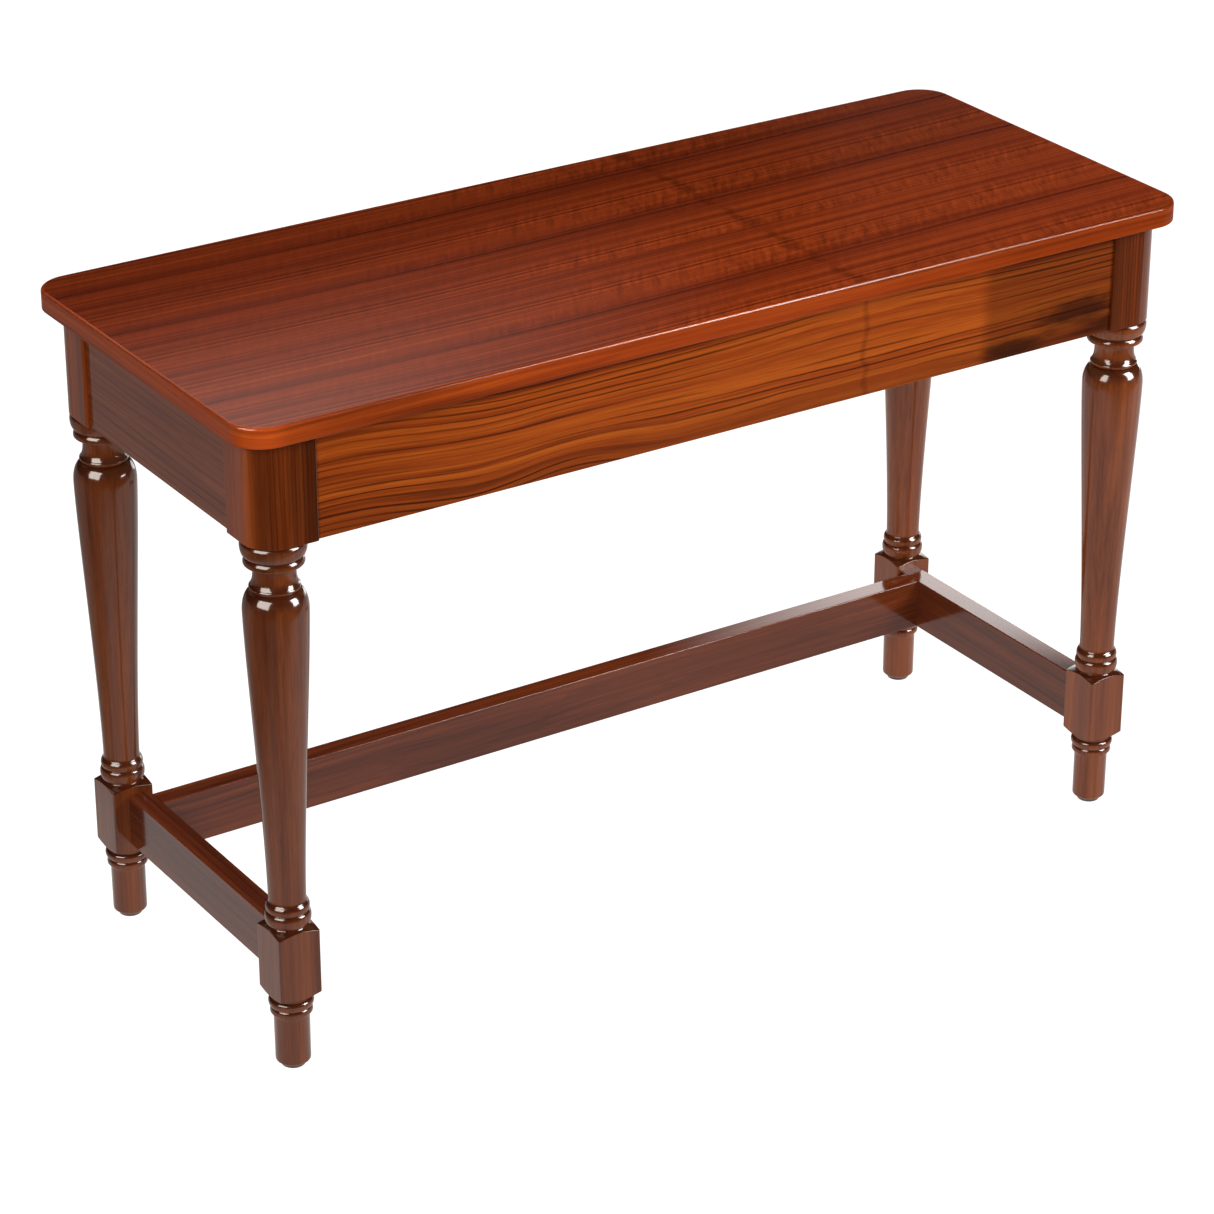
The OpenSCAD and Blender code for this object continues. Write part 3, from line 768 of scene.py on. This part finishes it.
def foot_outline(glide_top):
    """Half-outline of the leg below the block, from the foot's end up, as (radius, height)."""
    top = BLOCK_LOW
    points = [(LEG_MIDDLE_R, glide_top), (9.5, glide_top), (9.8, glide_top + 0.1)]
    points += [(12.2, 4.7), (12.55, 5.3), (12.65, 6.5), (12.8, top - 20.6)]
    points += bezier((12.85, top - 20.4), (13.2, top - 20.2), (13.3, top - 19.4), (13.45, top - 18.6),
                     4)
    points += arc((13.6, top - 16.8), (1.6, 1.6), -70, 0, 8)
    points += arc((13.6, top - 16.8), (1.6, 4.0), 5, 70, 10)
    points += bezier((14.4, top - 12.7), (14.9, top - 12.3), (15.4, top - 12.2), (15.6, top - 11.4), 5)
    points += arc((14.6, top - 9.0), (1.6, 2.8), -35, 75, 12)
    points += [(14.4, top - 5.9), (13.9, top - 5.6), (13.8, top - 4.2)]
    return points


def upper_outline(case_bottom):
    """Half-outline of the leg above the block, from the block up, as (radius, height)."""
    low, top = BLOCK_HIGH, case_bottom
    points = [(13.8, low + 4.1), (14.2, low + 4.9)]
    points += arc((14.5, low + 10.5), (2.0, 5.4), -75, 0, 14)
    points += arc((14.5, low + 10.5), (2.0, 4.6), 8, 78, 10)
    points += [(14.75, low + 15.15), (14.6, low + 15.4)]
    points += arc((13.8, low + 18.2), (1.8, 3.6), -52, 60, 16)
    points += bezier((14.4, low + 22.0), (13.8, low + 22.4), (13.3, low + 23.3), (13.3, low + 25.0), 8)
    points += bezier((13.3, low + 26), (14.2, low + 94), (22.2, top - 96), (22.9, top - 53), 48)[1:]
    points += arc((16.4, top - 53), (6.5, 15.2), 6, 84, 26)
    points += [(16.6, top - 37.6), (16.3, top - 37.3), (16.4, top - 37.0)]
    points += arc((15.4, top - 35.3), (2.4, 2.0), -55, 40, 14)
    points += bezier((17.0, top - 33.8), (16.0, top - 32.2), (14.9, top - 30.0), (14.9, top - 24.5), 10)
    points += bezier((14.9, top - 23.5), (14.9, top - 21.0), (15.2, top - 19.4), (16.2, top - 19.1), 6)
    points += arc((18.4, top - 17), (2.7, 2.0), -88, 0, 14)
    points += arc((18.4, top - 17), (2.7, 4.6), 7, 68, 12)
    points += [(19.6, top - 12.5), (19.7, top - 12.1), (20.3, top - 11.7)]
    points += arc((20.2, top - 4.2), (2.8, 7.6), -75, 0, 18)
    points += arc((20.2, top - 4.2), (2.8, 4.1), 12, 72, 8)
    points += [(20.9, top), (LEG_MIDDLE_R, top)]
    return points


def leg_rings(centre, glide_top, case_bottom):
    """Rings round the leg from the foot up to the case: square at the block, round elsewhere."""
    angles = leg_angles()
    foot = foot_outline(glide_top)
    upper = upper_outline(case_bottom)
    columns = []
    for angle in angles:
        side = square_radius(angle)
        block = list(reversed(shoulder(side, BLOCK_LOW, -1))) + shoulder(side, BLOCK_HIGH, 1)
        columns.append(foot + block + upper)
    rings = []
    for row in zip(*columns):
        ring = []
        for angle, (radius, height) in zip(angles, row):
            turn = math.radians(angle)
            ring.append((centre.x + radius * MM * math.cos(turn),
                         centre.y + radius * MM * math.sin(turn), height * MM))
        rings.append(ring)
    return rings


def make_legs():
    """Turned legs, each under the middle of its post."""
    wood = leg_wood()
    for corner, _, _ in CORNERS:
        node = corner + "_leg"
        post_low, post_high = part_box(corner + "_post")
        glide_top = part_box(corner + "_glide")[1].z
        rings = leg_rings((post_low + post_high) / 2, glide_top / MM, post_low.z / MM)
        piece = ring_mesh(corner + "_turned_leg", rings, wood, "case")
        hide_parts(node)


def make_stretchers():
    """Side stretchers between the legs' blocks, and the long one between the side stretchers."""
    side_wood = stretcher_wood("side_stretcher_wood", "y", wave=0.014, streak=15.0, seed=27.0)
    long_wood = stretcher_wood("long_stretcher_wood", "x", wave=0.030, streak=15.0, line_gap=0.006,
                               seed=29.0)
    post_low, post_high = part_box("front_left_post")
    leg_y = (post_low.y + post_high.y) / 2
    half_y = abs(leg_y) - BLOCK_HALF * MM
    for side in ("left", "right"):
        low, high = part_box(side + "_stretcher")
        low, high = Vector((low.x, -half_y, low.z)), Vector((high.x, half_y, high.z))
        piece = eased_bar(side + "_side_stretcher", low, high, "y", [STRETCHER_ARRIS] * 4, BUTTED_END_EASE,
                          side_wood, "case", 5)
        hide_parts(side + "_stretcher")
    low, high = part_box("rear_stretcher")
    inner_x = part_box("right_stretcher")[0].x
    low, high = Vector((-inner_x, low.y, low.z)), Vector((inner_x, high.y, high.z))
    piece = eased_bar("long_stretcher", low, high, "x", [STRETCHER_ARRIS] * 4, BUTTED_END_EASE,
                      long_wood, "case", 5)
    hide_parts("rear_stretcher")


def make_turned_disc(name, node, body, centre, profile, material):
    """A small turned piece from its half-outline, (radius, height) from the bottom up."""
    sides = 48
    turns = [2 * math.pi * i / sides for i in range(sides)]
    rings = [[(centre.x + radius * math.cos(t), centre.y + radius * math.sin(t), height) for t in turns]
             for radius, height in profile]
    piece = ring_mesh(name, rings, material, body)
    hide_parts(node)


def make_glides():
    """Foot glides with a rounded lower edge and an eased upper one."""
    plastic = glide_plastic()
    rounding, ease = 1.6 * MM, 0.2 * MM
    for corner, _, _ in CORNERS:
        low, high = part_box(corner + "_glide")
        radius, top = (high.x - low.x) / 2, high.z
        profile = [(DISC_MIDDLE_R, 0.0)]
        profile += arc((radius - rounding, rounding), (rounding, rounding), -90, 0, 8)
        profile += [(radius, top - ease), (radius - ease, top), (DISC_MIDDLE_R, top)]
        make_turned_disc(corner + "_foot_glide", corner + "_glide", "case", (low + high) / 2, profile,
                         plastic)


def make_pads():
    """Felt pads with a rounded upper edge, on the middle of each post's top."""
    material = felt()
    pad_low, pad_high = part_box("lid_rest_pads")
    post_low, post_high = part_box("rear_right_post")
    radius = pad_high.x - (post_low.x + post_high.x) / 2
    crown, ease = 0.4 * MM, 0.2 * MM
    for corner, _, _ in CORNERS:
        low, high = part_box(corner + "_post")
        profile = [(DISC_MIDDLE_R, pad_low.z), (radius - ease / 2, pad_low.z), (radius, pad_low.z + ease)]
        profile += arc((radius - crown, pad_high.z - crown), (crown, crown), 0, 90, 5)
        profile += [(DISC_MIDDLE_R, pad_high.z)]
        make_turned_disc(corner + "_felt_pad", "lid_rest_pads", "case", (low + high) / 2, profile,
                         material)


# ---- Finish of the CAD nodes that stay -----------------------------------------------------

def paint(material, *names):
    """Gives CAD nodes a material in place of their own."""
    for name in names:
        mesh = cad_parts[name].data
        mesh.materials.clear()
        mesh.materials.append(material)


def paint_cad_nodes():
    """Pale wood for what is inside, brass for the hinge and its screws, steel for the rest."""
    along_x, along_y = inner_wood("inner_wood_long", "x"), inner_wood("inner_wood_short", "y")
    paint(along_x, "lid_core", "front_apron", "rear_apron", "front_ledger", "rear_ledger",
          "bottom_board", "apron_dowels")
    paint(along_y, "left_apron", "right_apron", "left_ledger", "right_ledger")
    paint(brass(), "hinge_lid_leaf", "hinge_lid_screws", "hinge_case_leaf", "hinge_case_screws",
          "hinge_pin")
    paint(steel(), "bottom_screws", "glide_nails")


# ---- Studio ------------------------------------------------------------------------------

BENCH_MIDDLE = Vector((0, 0, 0.30))
SOFTBOX_DISTANCE = 2.4
CARD_Y = 0.85
FLOOR_HALF = 60.0
FLOOR_WHITE = (1.0, 0.995, 0.985)
FLAG_HEIGHT = 0.5 * MM

CAMERA_PLACE = (-1.5155, -2.3166, 1.5612)
CAMERA_TILT = 64.01
CAMERA_TURN = -32.96
CAMERA_LENS = 121.4
SENSOR_WIDTH = 36

WORLD_COLOUR = (1.0, 0.98, 0.96)
WORLD_STRENGTH = 0.03


def flat_panel(name, corners, material):
    """One flat face that belongs to the studio."""
    mesh = bpy.data.meshes.new(name)
    mesh.from_pydata(corners, [], [(0, 1, 2, 3)])
    mesh.materials.append(material)
    panel = bpy.data.objects.new(name, mesh)
    bpy.context.scene.collection.objects.link(panel)
    return panel


def glowing_plane(name, height, brightness):
    """A wide pale plane that glows; brightness gives its glow at a place, from 0 to 1."""
    g = Graph(name)
    x, y, z = g.place("x")
    glow = g.shade(FLOOR_WHITE, brightness(g, x, y))
    diffuse_share = g.spread(g.noise(x, y, z, (3, 3, 3), 2.0), 0.3, 0.7, 0.09, 0.10)
    material = g.surface(g.shade(glow, diffuse_share), 0.9, Specular_IOR_Level=0.0,
                         Emission_Color=glow, Emission_Strength=1.0)
    corners = [(u * FLOOR_HALF, v * FLOOR_HALF, height) for u, v in QUADRANTS]
    return flat_panel(name, corners, material)


def flagged(g, x, y):
    """The floor's glow as the bench sees it: shaded to the front and to the left, though less so on
    the left behind the bench."""
    front = g.spread(y, -0.95, -0.63, 0.15, 1.0)
    toward_camera = g.spread(g.add(g.times(x, 0.544), g.times(y, 0.839)), -0.85, -0.50, 0.35, 1.0)
    beside = g.spread(g.math("MULTIPLY_ADD", y, -0.474, x), -0.82, -0.54, 0.20, 1.0)
    behind = g.spread(y, 0.10, 0.45, 0.0, 0.45)
    return g.times(g.times(front, toward_camera), g.math("MAXIMUM", beside, behind))


def make_floor():
    """A white floor, and over it a shaded one that the camera doesn't see."""
    glowing_plane("floor", 0.0, lambda g, x, y: 1.0)
    flag = glowing_plane("floor_flag", FLAG_HEIGHT, flagged)
    flag.visible_camera = False
    flag.visible_shadow = False


def make_card(name, low, high, across, rise, strength, colour):
    """An upright glowing card behind the bench, from low to high (x, z), that shows only in
    reflections. Its glow grows between the two places in across and the two heights in rise."""
    g = Graph(name)
    x, _, z = g.place("x")
    bright = g.times(g.spread(x, *across), g.spread(z, *rise))
    black = (0.0, 0.0, 0.0)
    material = g.surface(black, 1.0, Specular_IOR_Level=0.0, Emission_Color=colour,
                         Emission_Strength=g.times(bright, strength))
    corners = [(low[0], CARD_Y, low[1]), (high[0], CARD_Y, low[1]),
               (high[0], CARD_Y, high[1]), (low[0], CARD_Y, high[1])]
    card = flat_panel(name, corners, material)
    card.visible_camera = False
    card.visible_shadow = False
    card.visible_diffuse = False


def make_cards():
    """A bright card low on the right, and a weaker one higher up."""
    make_card("low_card", low=(0.40, 0.0), high=(3.2, 0.72), across=(0.58, 0.92), rise=(0.72, 0.67),
              strength=6.8, colour=(1.0, 0.99, 0.98))
    make_card("high_card", low=(-0.60, 0.80), high=(0.80, 1.70), across=(0.75, 0.0), rise=(0.84, 1.06),
              strength=2.2, colour=(1.0, 0.88, 0.82))


def make_softbox(name, direction, width, height, radiance, colour, lights=True, shines=True):
    """A soft light that faces the bench from a direction. It lights the wood, shines in the lacquer,
    or both."""
    light = bpy.data.lights.new(name, "AREA")
    light.shape = "RECTANGLE"
    light.size, light.size_y = width, height
    light.energy = radiance * math.pi * width * height
    light.color = colour
    lamp = bpy.data.objects.new(name, light)
    bpy.context.scene.collection.objects.link(lamp)
    toward = Vector(direction).normalized()
    lamp.location = BENCH_MIDDLE + toward * SOFTBOX_DISTANCE
    lamp.rotation_euler = toward.to_track_quat("Z", "Y").to_euler()
    lamp.visible_camera = False
    lamp.visible_diffuse = lights
    lamp.visible_glossy = shines


def make_lights():
    """Two panels that show only in reflections, and three lamps that never show in them."""
    make_softbox("left_panel", (-0.85, -0.25, 0.44), 1.6, 1.6, 22.0, (1.0, 0.93, 0.84), lights=False)
    make_softbox("right_panel", (0.60, -0.68, 0.44), 1.0, 1.7, 50.0, (1.0, 0.98, 0.96), lights=False)
    make_softbox("key", (0.62, -0.66, 0.45), 1.0, 1.0, 15.0, (1.0, 0.97, 0.93), shines=False)
    make_softbox("fill", (-0.62, -0.66, 0.42), 1.0, 1.0, 14.0, (1.0, 0.96, 0.90), shines=False)
    make_softbox("top_light", (0.0, 0.30, 0.95), 1.0, 1.0, 9.0, (1.0, 0.97, 0.94), shines=False)


def make_world():
    """A faint even light from all round."""
    world = bpy.data.worlds.new("studio")
    world.use_nodes = True
    background = world.node_tree.nodes["Background"]
    background.inputs["Color"].default_value = (*WORLD_COLOUR, 1)
    background.inputs["Strength"].default_value = WORLD_STRENGTH
    bpy.context.scene.world = world
    bpy.context.scene.view_settings.view_transform = "Standard"


def make_camera():
    """The camera of the main view, in front of the bench on its left, looking down at it."""
    data = bpy.data.cameras.new("camera")
    data.sensor_width = SENSOR_WIDTH
    data.lens = CAMERA_LENS
    camera = bpy.data.objects.new("camera", data)
    camera.location = CAMERA_PLACE
    camera.rotation_euler = (math.radians(CAMERA_TILT), 0, math.radians(CAMERA_TURN))
    bpy.context.scene.collection.objects.link(camera)
    bpy.context.scene.camera = camera


make_camera()
make_floor()
make_cards()
make_lights()
make_world()
make_top_veneer()
make_bottom_veneer()
make_edge_band()
make_posts()
make_apron_faces()
make_legs()
make_stretchers()
make_glides()
make_pads()
paint_cad_nodes()
